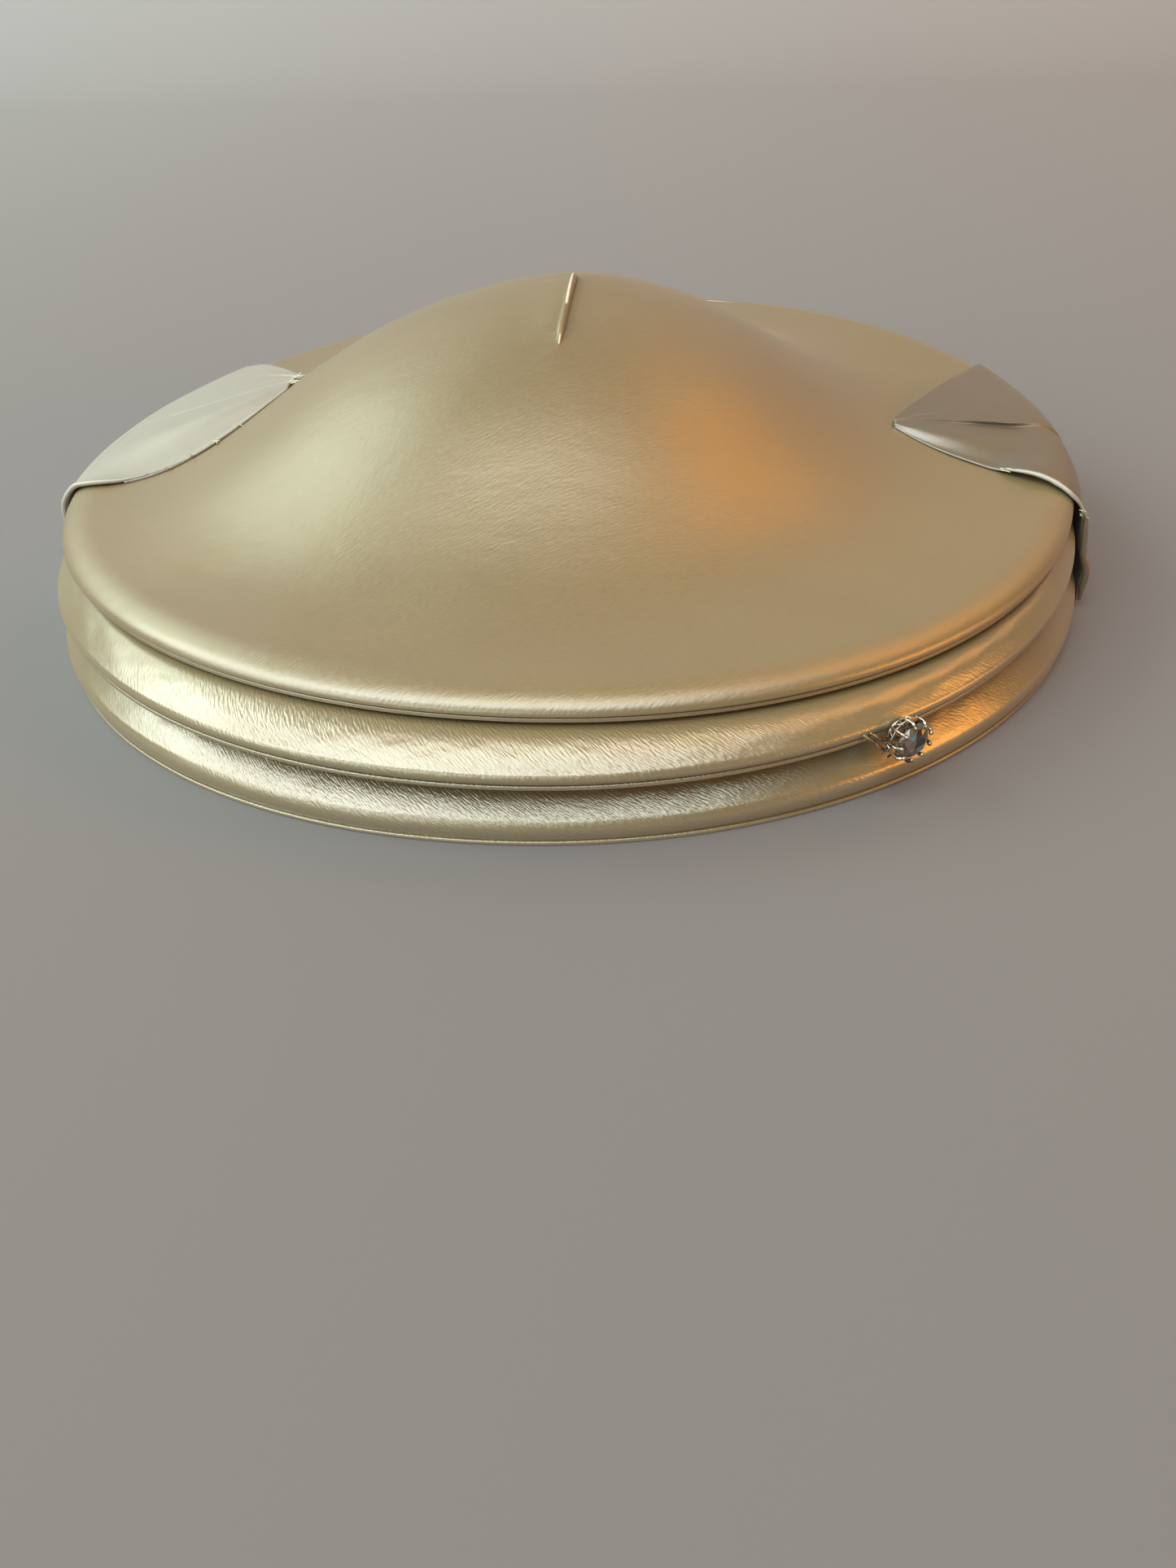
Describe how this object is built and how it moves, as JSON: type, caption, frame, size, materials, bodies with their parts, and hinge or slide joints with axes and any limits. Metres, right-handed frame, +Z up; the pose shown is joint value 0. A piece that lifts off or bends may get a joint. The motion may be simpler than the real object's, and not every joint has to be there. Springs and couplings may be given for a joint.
{
  "type": "percher hat",
  "caption": "Shallow bell-crowned satin percher hat with stacked round brims, folded side tabs and a claw-set rhinestone.",
  "frame": {"origin": "middle of the hat's outline on the surface that its lowest edge rests on", "axes": "+Z up through the crown; -Y the front of the hat; +X the wearer's left, which is the right in a front view"},
  "size_m": [0.2807, 0.2757, 0.0749],
  "materials": {
    "satin": "ivory satin with a soft sheen",
    "silver": "bright silver-coloured metal",
    "crystal": "clear faceted glass"
  },
  "bodies": {
    "root": {"crown": "satin", "middle_brim": "satin", "lower_brim": "satin", "right_tab": "satin", "left_tab": "satin", "stone": "crystal", "setting": "silver"}
  },
  "joints": []
}
